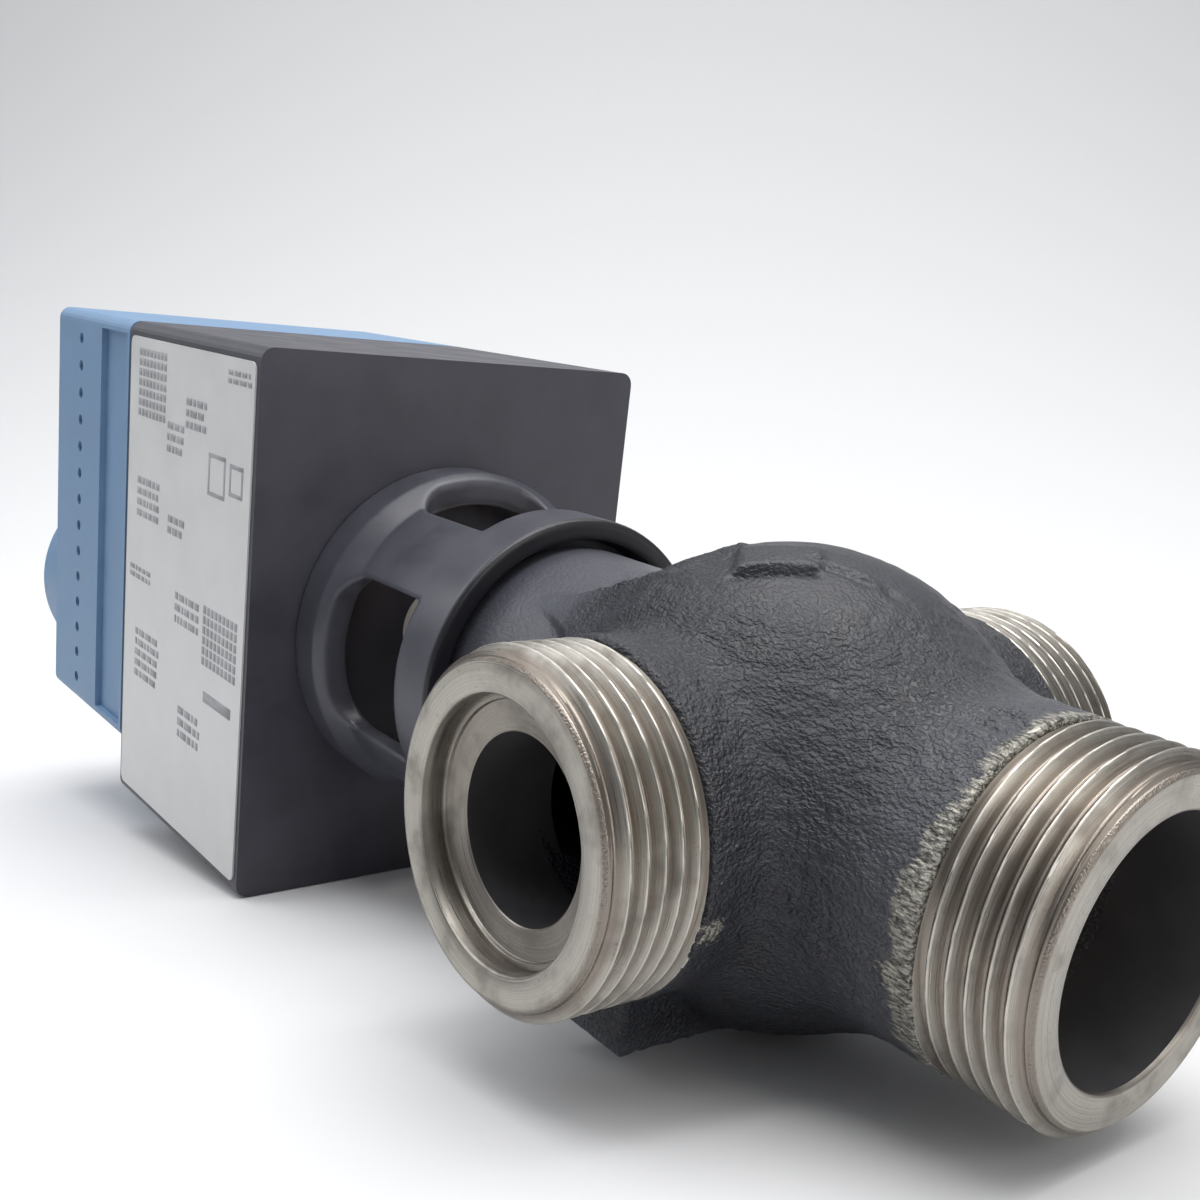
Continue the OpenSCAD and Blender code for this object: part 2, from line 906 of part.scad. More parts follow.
module cover() {
    front = housing_back + seal_thick;
    color([0.36, 0.52, 0.74])
        difference() {
            union() {
                difference() {
                    rounded_block(front, cover_back, housing_w, cover_h, cover_mid_z, edge_r);
                    rounded_block(front - 1, cover_back - cover_wall, housing_w - 2 * cover_wall - 1,
                        cover_h - 2 * cover_wall, cover_mid_z, edge_r - 1);
                }
                for (y = [-column_y, column_y], z = column_z)
                    rod_at([y, z], front, cover_back - 1, column_r);
                rod_at(boss_at, cover_back - 1, cover_back + boss_h, boss_r);
            }
            rod_at(hand_at, cover_back, cover_back + boss_h + 1, knob_r + 0.8);
            for (y = [-column_y, column_y], z = column_z) {
                rod_at([y, z], front - 1, cover_back + 1, screw_r);
                rod_at([y, z], cover_back - screw_head - 0.4, cover_back + boss_h + 1, screw_head_r + 0.2);
            }
            rod_at(hand_at, cover_back - cover_wall - 1, cover_back + 1, hand_shaft_r + running_gap);
            side_strip();
            side_vents();
        }
}

// Shallow band along the cover's side next to the housing
module side_strip() {
    translate([-housing_back - strip_front - strip_width, -housing_w / 2 - 1, -cover_bottom + 2.5])
        cube([strip_width, 1 + strip_depth, cover_h - 5]);
}

// Row of small blind holes along the cover's side
module side_vents() {
    for (i = [0:vents - 1])
        translate([-vent_x, -housing_w / 2 - 1, cover_mid_z + (i - (vents - 1) / 2) * vent_pitch])
            rotate([-90, 0, 0])
                cylinder(h = 1 + vent_depth, r = vent_r);
}

module cover_screws() {
    color([0.6, 0.6, 0.6])
        for (y = [-column_y, column_y], z = column_z) {
            rod_at([y, z], housing_back - rear_wall, cover_back - screw_head - 0.4, screw_r);
            rod_at([y, z], cover_back - screw_head - 0.4, cover_back - 0.4, screw_head_r);
        }
}

// Draws outwards from the housing's far side wall at a point [depth, z]
module on_side(at, inset = 0) {
    translate([-at[0], housing_w / 2 - inset, at[1]])
        rotate([-90, 0, 0])
            children();
}

module cable_gland() {
    color([0.12, 0.12, 0.13])
        on_side(gland_at)
            difference() {
                union() {
                    translate([0, 0, -wall - 4])
                        cylinder(h = wall + 5, r = entry_r);
                    cylinder(h = 5, r = 11, $fn = 6);
                    translate([0, 0, 5])
                        cylinder(h = gland_out - 5, r = 9);
                }
                translate([0, 0, -wall - 5])
                    cylinder(h = gland_out + wall + 10, r = 5.5);
                translate([0, 0, gland_out - 2])
                    cylinder(h = 3, r = 5.5);
            }
}

module gland_insert() {
    color([0.15, 0.15, 0.15])
        on_side(gland_at)
            difference() {
                cylinder(h = gland_out - 0.5, r = 5.5);
                translate([0, 0, -1])
                    cylinder(h = gland_out + 2, r = gland_hole_r);
            }
}

module blanking_plug() {
    color([0.12, 0.12, 0.13])
        on_side(plug_at)
            difference() {
                union() {
                    translate([0, 0, -wall - 3])
                        cylinder(h = wall + 4, r = entry_r);
                    cylinder(h = 3, r = 10);
                }
                translate([-4, -0.8, 1.5])
                    cube([8, 1.6, 3]);
            }
}

module label() {
    label_thick = 0.3;
    label_inset = 1.2;
    color([0.90, 0.91, 0.90])
        translate([-housing_front - label_inset, -housing_w / 2 - label_thick, mid_z])
            rotate([-90, 180, 0])
                linear_extrude(height = label_thick)
                    translate([(housing_depth - 2 * label_inset) / 2, 0])
                        polygon(rounded(housing_depth - 2 * label_inset, housing_h - 5, 1.5));
}

placed() valve_body();
placed() seat_ring();
placed() plug();
placed() stem();
placed() bonnet();
placed() bonnet_seal();
placed() stem_packing();
placed() gland_nut();
placed() yoke();
placed() yoke_nut();
placed() yoke_screws();
placed() stem_coupling();
placed() coupling_screw();
placed() drive_spindle();
placed() spindle_bush();
placed() housing();
placed() gear_plate();
placed() plate_screws();
placed() gear_axles();
placed() drive_gear();
placed() drive_bearings();
placed() second_gear();
placed() first_gear();
placed() motor();
placed() motor_shaft();
placed() motor_pinion();
placed() motor_screws();
placed() hand_pinion();
placed() hand_shaft();
placed() hand_knob();
placed() knob_screw();
placed() circuit_board();
placed() board_screws();
placed() terminal_block();
placed() capacitor();
placed() cover_seal();
placed() cover();
placed() cover_screws();
placed() cable_gland();
placed() gland_insert();
placed() blanking_plug();
placed() label();
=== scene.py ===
import math

import bpy
import numpy as np
from mathutils import Euler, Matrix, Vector


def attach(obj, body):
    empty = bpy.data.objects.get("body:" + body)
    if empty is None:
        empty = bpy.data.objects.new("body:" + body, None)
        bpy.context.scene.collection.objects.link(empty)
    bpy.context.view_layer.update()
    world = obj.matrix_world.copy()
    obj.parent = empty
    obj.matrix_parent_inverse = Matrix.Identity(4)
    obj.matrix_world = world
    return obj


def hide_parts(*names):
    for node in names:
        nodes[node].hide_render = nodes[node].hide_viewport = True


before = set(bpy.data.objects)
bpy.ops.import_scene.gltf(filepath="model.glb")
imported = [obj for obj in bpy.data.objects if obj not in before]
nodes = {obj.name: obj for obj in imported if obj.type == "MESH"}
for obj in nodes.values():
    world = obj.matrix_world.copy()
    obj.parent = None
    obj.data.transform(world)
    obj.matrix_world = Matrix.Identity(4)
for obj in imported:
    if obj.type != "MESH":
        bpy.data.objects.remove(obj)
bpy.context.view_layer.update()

# Sizes in mm, counted from the valve's centre. The yoke and the actuator are at negative x.
MM = 0.001
CENTRE = 52.0                   # the row frame's origin is the axial port's face, this far from the centre
REACH_X, REACH_Y = 52.0, 45.0   # faces of the axial port and of the two in-line ports
CREST = 20.955                  # radius over the crests of the G 1 1/4 thread
PITCH, DEPTH = 2.309, 1.479
ROOT = CREST - DEPTH
THREAD = 13.6                   # length of machined thread on each port
TUBE = 21.25                    # radius of the cast tubes behind the threads
SHELL, NECK = 31.25, 21.6       # radii of the round middle and of the neck towards the yoke
BORE_X, BORE_Y = 15.2, 11.0     # radii of the port bores
RECESS, RECESS_DEPTH = 15.5, 3.5
LABEL_Y = -36.8                 # outer side of the label


# ---------------------------------------------------------------- materials

class Shader:
    """A small builder for one node material with a single Principled shader."""

    def __init__(self, name, **values):
        self.material = bpy.data.materials.new(name)
        self.material.use_nodes = True
        self.tree = self.material.node_tree
        self.tree.nodes.clear()
        self.out = self.tree.nodes.new("ShaderNodeOutputMaterial")
        self.main = self.tree.nodes.new("ShaderNodeBsdfPrincipled")
        self.link(self.main.outputs[0], self.out.inputs[0])
        for key, value in values.items():
            socket = key.replace("_", " ").title().replace("Ior", "IOR")
            self.main.inputs[socket].default_value = value
        place = self.tree.nodes.new("ShaderNodeTexCoord")
        scale = self.tree.nodes.new("ShaderNodeVectorMath")
        scale.operation = "MULTIPLY_ADD"
        self.link(place.outputs["Object"], scale.inputs[0])
        scale.inputs[1].default_value = (1000, 1000, 1000)
        scale.inputs[2].default_value = (CENTRE, 0, 0)
        self.mm = scale.outputs[0]      # place in millimetres from the valve's centre

    def link(self, a, b):
        self.tree.links.new(a, b)

    def put(self, socket, value):
        """Gives a socket a number, a colour or another node's output."""
        if isinstance(value, (int, float)):
            socket.default_value = value
        elif isinstance(value, tuple):
            socket.default_value = (*value, 1)
        else:
            self.link(value, socket)

    def stretch(self, x, y, z):
        """Place in millimetres times a factor for each axis."""
        node = self.tree.nodes.new("ShaderNodeVectorMath")
        node.operation = "MULTIPLY"
        self.link(self.mm, node.inputs[0])
        node.inputs[1].default_value = (x, y, z)
        return node.outputs[0]

    def noise(self, size, detail=3.0, rough=0.55, vector=None):
        """Noise from 0 to 1 with lumps of about that size in millimetres."""
        node = self.tree.nodes.new("ShaderNodeTexNoise")
        self.link(vector or self.mm, node.inputs["Vector"])
        node.inputs["Scale"].default_value = 1.0 / size
        node.inputs["Detail"].default_value = detail
        node.inputs["Roughness"].default_value = rough
        return node.outputs[0]

    def radius(self, axis):
        """Distance from an axis through the valve's centre, in millimetres."""
        xyz = self.axes()
        a, b = [xyz[i] for i in range(3) if i != axis]
        return self.math("SQRT", self.math("ADD", self.math("MULTIPLY", a, a), self.math("MULTIPLY", b, b)))

    def distance(self, x, y, z):
        """Distance from a place, in millimetres."""
        node = self.tree.nodes.new("ShaderNodeVectorMath")
        node.operation = "DISTANCE"
        self.link(self.mm, node.inputs[0])
        node.inputs[1].default_value = (x, y, z)
        return node.outputs["Value"]

    def math(self, kind, a, b=0.0):
        node = self.tree.nodes.new("ShaderNodeMath")
        node.operation = kind
        self.put(node.inputs[0], a)
        self.put(node.inputs[1], b)
        return node.outputs[0]

    def ramp(self, value, low, high, to_low=0.0, to_high=1.0, smooth=True):
        """to_low where value is low and to_high where it is high, level beyond both."""
        node = self.tree.nodes.new("ShaderNodeMapRange")
        node.interpolation_type = "SMOOTHSTEP" if smooth else "LINEAR"
        self.link(value, node.inputs["Value"])
        for key, number in (("From Min", low), ("From Max", high), ("To Min", to_low), ("To Max", to_high)):
            node.inputs[key].default_value = number
        return node.outputs["Result"]

    def blend(self, share, a, b):
        """Colour a where share is 0, colour b where it is 1."""
        node = self.tree.nodes.new("ShaderNodeMix")
        node.data_type = "RGBA"
        for i, value in ((0, share), (6, a), (7, b)):
            self.put(node.inputs[i], value)
        return node.outputs[2]

    def between(self, share, a, b):
        """Number a where share is 0, number b where it is 1."""
        node = self.tree.nodes.new("ShaderNodeMix")
        for i, value in ((0, share), (2, a), (3, b)):
            self.put(node.inputs[i], value)
        return node.outputs[0]

    def axes(self):
        node = self.tree.nodes.new("ShaderNodeSeparateXYZ")
        self.link(self.mm, node.inputs[0])
        return node.outputs

    def join(self, x, y, z):
        node = self.tree.nodes.new("ShaderNodeCombineXYZ")
        for i, value in enumerate((x, y, z)):
            self.put(node.inputs[i], value)
        return node.outputs[0]

    def relief(self, height, depth):
        """Bump of that depth in millimetres at height 1."""
        node = self.tree.nodes.new("ShaderNodeBump")
        node.inputs["Strength"].default_value = 1.0
        node.inputs["Distance"].default_value = depth * MM
        self.link(height, node.inputs["Height"])
        self.link(node.outputs[0], self.main.inputs["Normal"])

    def colour(self, value):
        self.link(value, self.main.inputs["Base Color"])

    def rough(self, value):
        self.link(value, self.main.inputs["Roughness"])


def turned_place(s, axis, fineness, drift):
    """Coordinates whose noise makes turning rings about an axis, which change by drift round it."""
    xyz = s.axes()
    a, b = [xyz[i] for i in range(3) if i != axis]
    angle = s.math("ARCTAN2", a, b)
    return s.join(s.math("MULTIPLY", xyz[axis], fineness), s.math("MULTIPLY", s.radius(axis), fineness),
                  s.math("MULTIPLY", s.math("SINE", angle), drift))


def machined(name, tint, axis):
    """Turned grey metal with stains: painted brown shade in the thread grooves, a painted highlight on the
    crests and painted shade in the recess.
    """
    rough, stain = 0.32, (0.075, 0.060, 0.048)
    s = Shader(name, metallic=1.0)
    radius = s.radius(axis)
    rings = s.noise(1.0, 4, 0.6, turned_place(s, axis, 7.0, 0.6))
    wide = s.noise(1.0, 2, 0.5, turned_place(s, axis, 1.3, 2.0))
    cloud = s.noise(6.0, 3, 0.6)
    specks = s.ramp(s.noise(0.55, 2, 0.6), 0.66, 0.74)
    base = s.blend(s.ramp(rings, 0.3, 0.72), tuple(0.70 * c for c in tint), tint)
    base = s.blend(s.ramp(cloud, 0.45, 0.75, 0.0, 0.45), base, stain)
    base = s.blend(s.math("MULTIPLY", specks, 0.35), base, stain)
    # painted shade: darker brown down in the thread grooves
    groove_shade = s.math("MULTIPLY", s.ramp(radius, CREST - 0.25, CREST - 1.0),
                    s.ramp(radius, ROOT - 0.5, ROOT - 0.2))
    base = s.blend(s.math("MULTIPLY", groove_shade, 0.6), base, (0.170, 0.136, 0.110))
    # painted shade: darker in the recess at the port's mouth
    base = s.blend(s.ramp(radius, RECESS + 0.12, RECESS + 0.02, 0.0, 0.55), base, (0.15, 0.132, 0.115))
    # painted highlight: lighter along the thread crests
    crest_highlight = s.ramp(radius, CREST - 0.16, CREST - 0.03)
    base = s.blend(s.math("MULTIPLY", crest_highlight, 0.55), base, (0.66, 0.63, 0.57))
    s.colour(base)
    s.rough(s.math("ADD", s.ramp(rings, 0.3, 0.7, rough - 0.08, rough + 0.10),
                   s.ramp(cloud, 0.4, 0.75, 0.0, 0.14)))
    chatter = s.math("MULTIPLY", s.ramp(radius, ROOT - 0.55, ROOT - 0.35),
                     s.ramp(radius, ROOT + 0.25, ROOT + 0.05))
    chatter = s.math("MULTIPLY", chatter, s.noise(0.30, 2, 0.6))
    s.relief(s.math("ADD", s.math("ADD", rings, s.math("MULTIPLY", wide, 1.2)),
                    s.math("MULTIPLY", chatter, 5.0)), 0.035)
    return s.material


def plastic(name, tint, rough=0.42, grain=0.35, depth=0.012, mottle=0.06, wear=0.10, painted_shade_from=None):
    """Moulded plastic with grain, faint clouds and rubbed spots, and painted shade (near black) beyond the x
    given as the last argument.
    """
    s = Shader(name, specular_ior_level=0.5)
    fine = s.noise(grain, 2, 0.6)
    wide = s.noise(9.0, 3, 0.55)
    rub = s.ramp(s.noise(2.4, 5, 0.7, s.stretch(1.0, 0.35, 0.8)), 0.62, 0.80)
    light = tuple(min(1.0, c * (1 + mottle * 2.5) + 0.004) for c in tint)
    dark = tuple(c * (1 - mottle) for c in tint)
    base = s.blend(s.ramp(wide, 0.3, 0.7), dark, light)
    base = s.blend(s.math("MULTIPLY", rub, wear), base, tuple(min(1, c * 1.6 + 0.02) for c in tint))
    # painted shade: near black on faces past that x, such as the yoke's front rim
    if painted_shade_from is not None:
        base = s.blend(s.ramp(s.axes()[0], painted_shade_from, painted_shade_from + 0.5), base, (0.0085, 0.0085, 0.012))
    s.colour(base)
    s.rough(s.math("ADD", s.ramp(wide, 0.3, 0.7, rough - 0.05, rough + 0.06),
                   s.math("MULTIPLY", rub, 0.10)))
    s.relief(s.math("ADD", fine, s.math("MULTIPLY", s.noise(2.2, 2, 0.5), 1.5)), depth)
    return s.material


def metal(name, tint, rough=0.32, grain=0.5, depth=0.01, stain=None, streak=(1, 1, 1)):
    """Plain metal with fine grain, drawn out by streak, and soft clouds of stain."""
    s = Shader(name, metallic=1.0)
    fine = s.noise(grain, 3, 0.6, s.stretch(*streak))
    wide = s.noise(4.0, 4, 0.6)
    stain = stain or tuple(0.45 * c for c in tint)
    s.colour(s.blend(s.ramp(wide, 0.42, 0.78, 0.0, 0.75), tint, stain))
    s.rough(s.math("ADD", s.ramp(fine, 0.3, 0.7, rough - 0.07, rough + 0.08),
                   s.ramp(wide, 0.4, 0.8, 0.0, 0.16)))
    s.relief(s.math("ADD", fine, wide), depth)
    return s.material


def cast_paint(name):
    """Black paint on a rough casting, with bare metal showing next to the threads."""
    s = Shader(name, specular_ior_level=0.5)
    x, y, z = s.axes()
    aside = s.math("ABSOLUTE", y)
    ragged = s.noise(0.75, 4, 0.72, s.stretch(0.40, 1.0, 1.0))
    patch = s.noise(6.5, 2, 0.5)

    def frayed(value, fine, coarse=0.0):
        """The value moved to and fro by up to fine and coarse millimetres, for ragged edges."""
        value = s.math("ADD", value, s.ramp(ragged, 0.25, 0.75, -fine, fine, False))
        return s.math("ADD", value, s.ramp(patch, 0.3, 0.7, -coarse, coarse, False))

    # bare metal: a band behind each thread, one rubbed patch and chips near the bands
    edge_x = s.math("ADD", frayed(x, 1.5, 1.5), s.ramp(z, 15.0, 20.5, 0.0, -1.6))
    edge_y = frayed(aside, 0.8, 0.5)
    bare = s.math("MAXIMUM", s.ramp(edge_x, 35.5, 36.7), s.ramp(edge_y, 32.2, 32.7))
    bare = s.math("MAXIMUM", bare, s.ramp(frayed(s.distance(20.2, -30.4, -5.5), 1.4), 1.7, 1.2))
    bores = s.math("MAXIMUM",
                   s.math("MULTIPLY", s.math("LESS_THAN", s.radius(1), RECESS + 0.1),
                          s.math("GREATER_THAN", aside, 20.0)),
                   s.math("MULTIPLY", s.math("LESS_THAN", s.radius(0), BORE_X + 1.8),
                          s.math("GREATER_THAN", x, 15.0)))
    bare = s.math("MULTIPLY", bare, s.math("SUBTRACT", 1.0, bores))
    chips = s.ramp(s.noise(0.55, 3, 0.7), 0.64, 0.70)
    near = s.math("MAXIMUM", s.ramp(edge_x, 32.5, 36.5), s.ramp(edge_y, 27.0, 31.5))
    bare = s.math("MAXIMUM", bare, s.math("MULTIPLY", chips, s.math("MULTIPLY", near, 0.7)))

    # paint: deep black on the middle; the lighter grey on the neck, the axial tube and the lug is painted
    # reflection
    cloud = s.noise(11.0, 4, 0.6)
    dust = s.ramp(s.noise(1.1, 5, 0.75), 0.56, 0.80)
    paint = s.blend(s.ramp(cloud, 0.3, 0.7), (0.0125, 0.0130, 0.0175), (0.019, 0.0205, 0.028))
    # painted reflection: lighter paint on the neck, the axial tube and the lug
    paint = s.blend(s.ramp(x, -22.0, -31.0), paint, (0.056, 0.058, 0.071))
    paint = s.blend(s.ramp(x, 25.0, 33.0, 0.0, 0.8), paint, (0.054, 0.056, 0.066))
    paint = s.blend(s.ramp(z, -24.0, -28.5, 0.0, 0.9), paint, (0.050, 0.053, 0.066))
    paint = s.blend(s.math("MULTIPLY", dust, 0.14), paint, (0.075, 0.08, 0.09))
    streak = s.noise(0.38, 4, 0.7, s.stretch(0.30, 1.0, 1.0))
    steel = s.blend(s.ramp(streak, 0.38, 0.64), (0.065, 0.062, 0.055), (0.40, 0.385, 0.335))
    s.colour(s.blend(bare, paint, steel))
    s.link(s.math("MULTIPLY", bare, 0.55), s.main.inputs["Metallic"])
    s.rough(s.between(bare, s.ramp(cloud, 0.3, 0.7, 0.38, 0.50), s.ramp(streak, 0.3, 0.7, 0.38, 0.58)))

    # pebbled skin, smoother on the neck and the top
    pebble = s.ramp(s.noise(0.54, 2, 0.5, s.stretch(0.8, 1.0, 1.25)), 0.34, 0.66)
    calm = s.math("MULTIPLY", s.ramp(x, -31.0, -24.0, 0.22, 1.0), s.ramp(z, 29.0, 22.0, 0.35, 1.0))
    fine = s.math("ADD", pebble, s.math("MULTIPLY", s.noise(0.30, 2, 0.5), 0.4))
    s.relief(s.math("SUBTRACT", s.math("MULTIPLY", fine, calm), s.math("MULTIPLY", bare, 0.3)), 0.17)
    return s.material


# ---------------------------------------------------------------- shapes

def lattice(points, size, seed):
    """Smooth value noise from -1 to 1 at points, with lumps of about that size."""
    n = 32
    table = np.random.default_rng(seed).uniform(-1, 1, (n, n, n)).astype(np.float32)
    p = points / size
    base = np.floor(p).astype(int)
    t = (p - base).astype(np.float32)
    t = t * t * (3 - 2 * t)
    total = 0
    for corner in range(8):
        i, j, k = corner & 1, corner >> 1 & 1, corner >> 2
        share = ((t[..., 0] if i else 1 - t[..., 0]) * (t[..., 1] if j else 1 - t[..., 1])
                 * (t[..., 2] if k else 1 - t[..., 2]))
        total = total + share * table[(base[..., 0] + i) % n, (base[..., 1] + j) % n, (base[..., 2] + k) % n]
    return total


def turned_noise(points, size, seed):
    """Two layers of lattice noise, each turned away from the axes."""
    turn = np.array([[0.80, 0.36, -0.48], [-0.60, 0.48, -0.64], [0.0, 0.8, 0.6]], np.float32)
    total = 0
    for layer, gain in enumerate((1.0, 0.5)):
        points = points @ turn
        total = total + gain * lattice(points, size * 0.53 ** layer, seed + layer)
    return total


def join_smooth(a, b, k):
    """a and b together, with the corner between them filled by k."""
    h = np.clip(0.5 + 0.5 * (b - a) / k, 0, 1)
    return b + (a - b) * h - k * h * (1 - h)


def cut_smooth(a, b, k):
    """a without b, with the edge eased by k."""
    return -join_smooth(-a, b, k)


def grid(low, high, step):
    """Points of a box, step apart, and its low corner."""
    axes = [np.arange(lo, hi + step, step, dtype=np.float32) for lo, hi in zip(low, high)]
    return np.stack(np.meshgrid(*axes, indexing="ij"), -1), np.array(low, np.float32)


def skin_of(field, low, step):
    """Corners and four-sided faces of the surface where field, negative inside, crosses 0."""
    inside = field < 0
    n = np.array(field.shape) - 1
    count = np.zeros(n, np.int8)
    for c in range(8):
        i, j, k = c & 1, c >> 1 & 1, c >> 2
        count += inside[i:i + n[0], j:j + n[1], k:k + n[2]]
    cells = np.argwhere((count > 0) & (count < 8))
    index = np.full(n, -1, np.int64)
    index[tuple(cells.T)] = np.arange(len(cells))
    total, hits = np.zeros((len(cells), 3)), np.zeros(len(cells))
    for axis in range(3):
        for c in range(4):
            start = np.zeros(3, int)
            start[(axis + 1) % 3], start[(axis + 2) % 3] = c & 1, c >> 1
            end = start.copy()
            end[axis] = 1
            a, b = field[tuple((cells + start).T)], field[tuple((cells + end).T)]
            cross = (a < 0) != (b < 0)
            t = np.where(cross, a / np.where(cross, a - b, 1), 0)
            spot = (cells + start).astype(float)
            spot[:, axis] += t
            total += spot * cross[:, None]
            hits += cross
    corners = (total / hits[:, None]) * step + low
    faces = []
    for axis in range(3):
        u, v = (axis + 1) % 3, (axis + 2) % 3
        a = [slice(None)] * 3
        b = [slice(None)] * 3
        a[axis], b[axis] = slice(0, -1), slice(1, None)
        lo_in, hi_in = inside[tuple(a)], inside[tuple(b)]
        for flip in (False, True):
            edges = np.argwhere((~lo_in & hi_in) if flip else (lo_in & ~hi_in))
            keep = (edges[:, u] > 0) & (edges[:, v] > 0) & (edges[:, u] < n[u]) & (edges[:, v] < n[v])
            edges = edges[keep]
            quad = []
            for du, dv in ((1, 1), (0, 1), (0, 0), (1, 0)):
                cell = edges.copy()
                cell[:, u] -= du
                cell[:, v] -= dv
                quad.append(index[tuple(cell.T)])
            quad = np.stack(quad, 1)
            faces.append(quad[:, ::-1] if flip else quad)
    return corners, np.concatenate(faces)


def lathe_sheet(profile, turns):
    """Corners and faces of a turned surface. profile gives (radius, length) rows at an angle."""
    angles = np.linspace(0, 2 * np.pi, turns, endpoint=False)
    rows = np.array([profile(a) for a in angles], float)
    r, l = rows[..., 0], rows[..., 1]
    corners = np.stack([r * np.cos(angles)[:, None], r * np.sin(angles)[:, None], l], -1)
    m = rows.shape[1]
    i, j = np.meshgrid(np.arange(turns), np.arange(m - 1), indexing="ij")
    k = (i + 1) % turns
    faces = np.stack([i * m + j, k * m + j, k * m + j + 1, i * m + j + 1], -1).reshape(-1, 4)
    return corners.reshape(-1, 3), faces


def piece(name, parts, materials, body="valve"):
    """One mesh piece from (corners in mm from the valve's centre, faces, material number) parts."""
    corners, faces, which = [], [], []
    start = 0
    for part_corners, part_faces, number in parts:
        corners.append(np.asarray(part_corners, float))
        faces.append(np.asarray(part_faces) + start)
        which.append(np.full(len(part_faces), number))
        start += len(part_corners)
    corners = (np.concatenate(corners) - (CENTRE, 0, 0)) * MM
    faces, which = np.concatenate(faces), np.concatenate(which)
    mesh = bpy.data.meshes.new(name)
    mesh.vertices.add(len(corners))
    mesh.vertices.foreach_set("co", corners.astype(np.float32).ravel())
    mesh.loops.add(faces.size)
    mesh.loops.foreach_set("vertex_index", faces.astype(np.int32).ravel())
    mesh.polygons.add(len(faces))
    sides = faces.shape[1]
    mesh.polygons.foreach_set("loop_start", np.arange(0, faces.size, sides, dtype=np.int32))
    mesh.polygons.foreach_set("loop_total", np.full(len(faces), sides, np.int32))
    for m in materials:
        mesh.materials.append(m)
    mesh.polygons.foreach_set("material_index", which.astype(np.int32))
    mesh.update(calc_edges=True)
    mesh.validate()
    mesh.shade_smooth()
    o = bpy.data.objects.new(name, mesh)
    bpy.context.scene.collection.objects.link(o)
    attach(o, body)
    return o


# ---------------------------------------------------------------- valve casting

def thread_radius(t, angle):
    """Outside radius of a port at length t from its face: helical crests, mouth chamfer and run-out."""
    height, runout_length = 1.30, 1.5
    phase = (t + PITCH * angle / (2 * np.pi)) / PITCH + 0.62
    wave = np.abs((phase % 1.0) * 2 - 1)          # 1 on a crest, 0 in a root
    shape = np.clip((wave - 0.06) / 0.86, 0, 1) ** 1.35
    mouth = ROOT - 0.15 + np.clip(t, 0, 5)
    r = np.minimum(CREST - height + height * shape, mouth)
    runout = np.clip((t - (THREAD - runout_length)) / runout_length, 0, 1)
    rise = ROOT + 0.2 + (TUBE - 0.45 - ROOT) * runout ** 2
    return np.where(t > THREAD - runout_length, np.maximum(r, rise), r)


def port_parts(reach, bore, recess, recess_depth, direction, number, seed):
    """Machined end of a port: bore, recess, end face and thread, turned about its axis."""
    nick = np.random.default_rng(seed).uniform(-1, 1, 64)
    floor = reach - recess_depth        # bottom of the recess, with a raised step along its wall
    inner = [(bore, reach - 16.0)]
    if recess:
        inner += [(bore, floor - 0.25), (bore + 0.25, floor), (recess - 0.9, floor),
                  (recess - 0.8, floor + 0.1), (recess - 0.8, floor + 0.55), (recess - 0.7, floor + 0.65),
                  (recess, floor + 0.65), (recess, reach - 0.35), (recess + 0.35, reach)]
    else:
        inner += [(bore, reach - 0.5), (bore + 0.12, reach - 0.18), (bore + 0.4, reach)]
    rim = [(ROOT - 0.45, reach), (ROOT - 0.28, reach - 0.03)]
    lengths = np.arange(0, THREAD + 0.5, 0.09)

    def profile(angle):
        burr = 0.012 * nick[int(angle * 9) % 64]
        thread = [(r + (burr if r > CREST - 0.1 else 0), reach - 0.12 - t)
                  for r, t in zip(thread_radius(lengths, angle), lengths)]
        return inner + rim + thread

    corners, faces = lathe_sheet(profile, 360)
    x, y, l = corners.T
    mouth = recess_depth + 0.2 if recess else 0.4
    dark = (np.hypot(x, y)[faces].max(1) < bore + 0.14) & (l[faces].max(1) < reach - mouth)
    # "-y" is a mirror image of the other two, so its thread runs the other way
    places = {"x": (l, x, y), "-y": (-x, -l, y), "+y": (x, l, -y)}
    out = np.stack(places[direction], 1)
    return [(out, faces[~dark], number), (out, faces[dark], 3)]


def bell(p, centre, size):
    """Bell of height 1 about a place, with half widths size in mm."""
    q = (p - np.array(centre, np.float32)) / np.array(size, np.float32)
    return np.exp(-(q * q).sum(-1))


def ease(value, low, high):
    """0 at low, 1 at high, straight between."""
    return np.clip((value - low) / (high - low), 0, 1)


def strip(p, start, direction):
    """Distances along and across a straight line through start, seen from above."""
    x, y = p[..., 0] - start[0], p[..., 1] - start[1]
    return x * direction[0] + y * direction[1], y * direction[0] - x * direction[1]


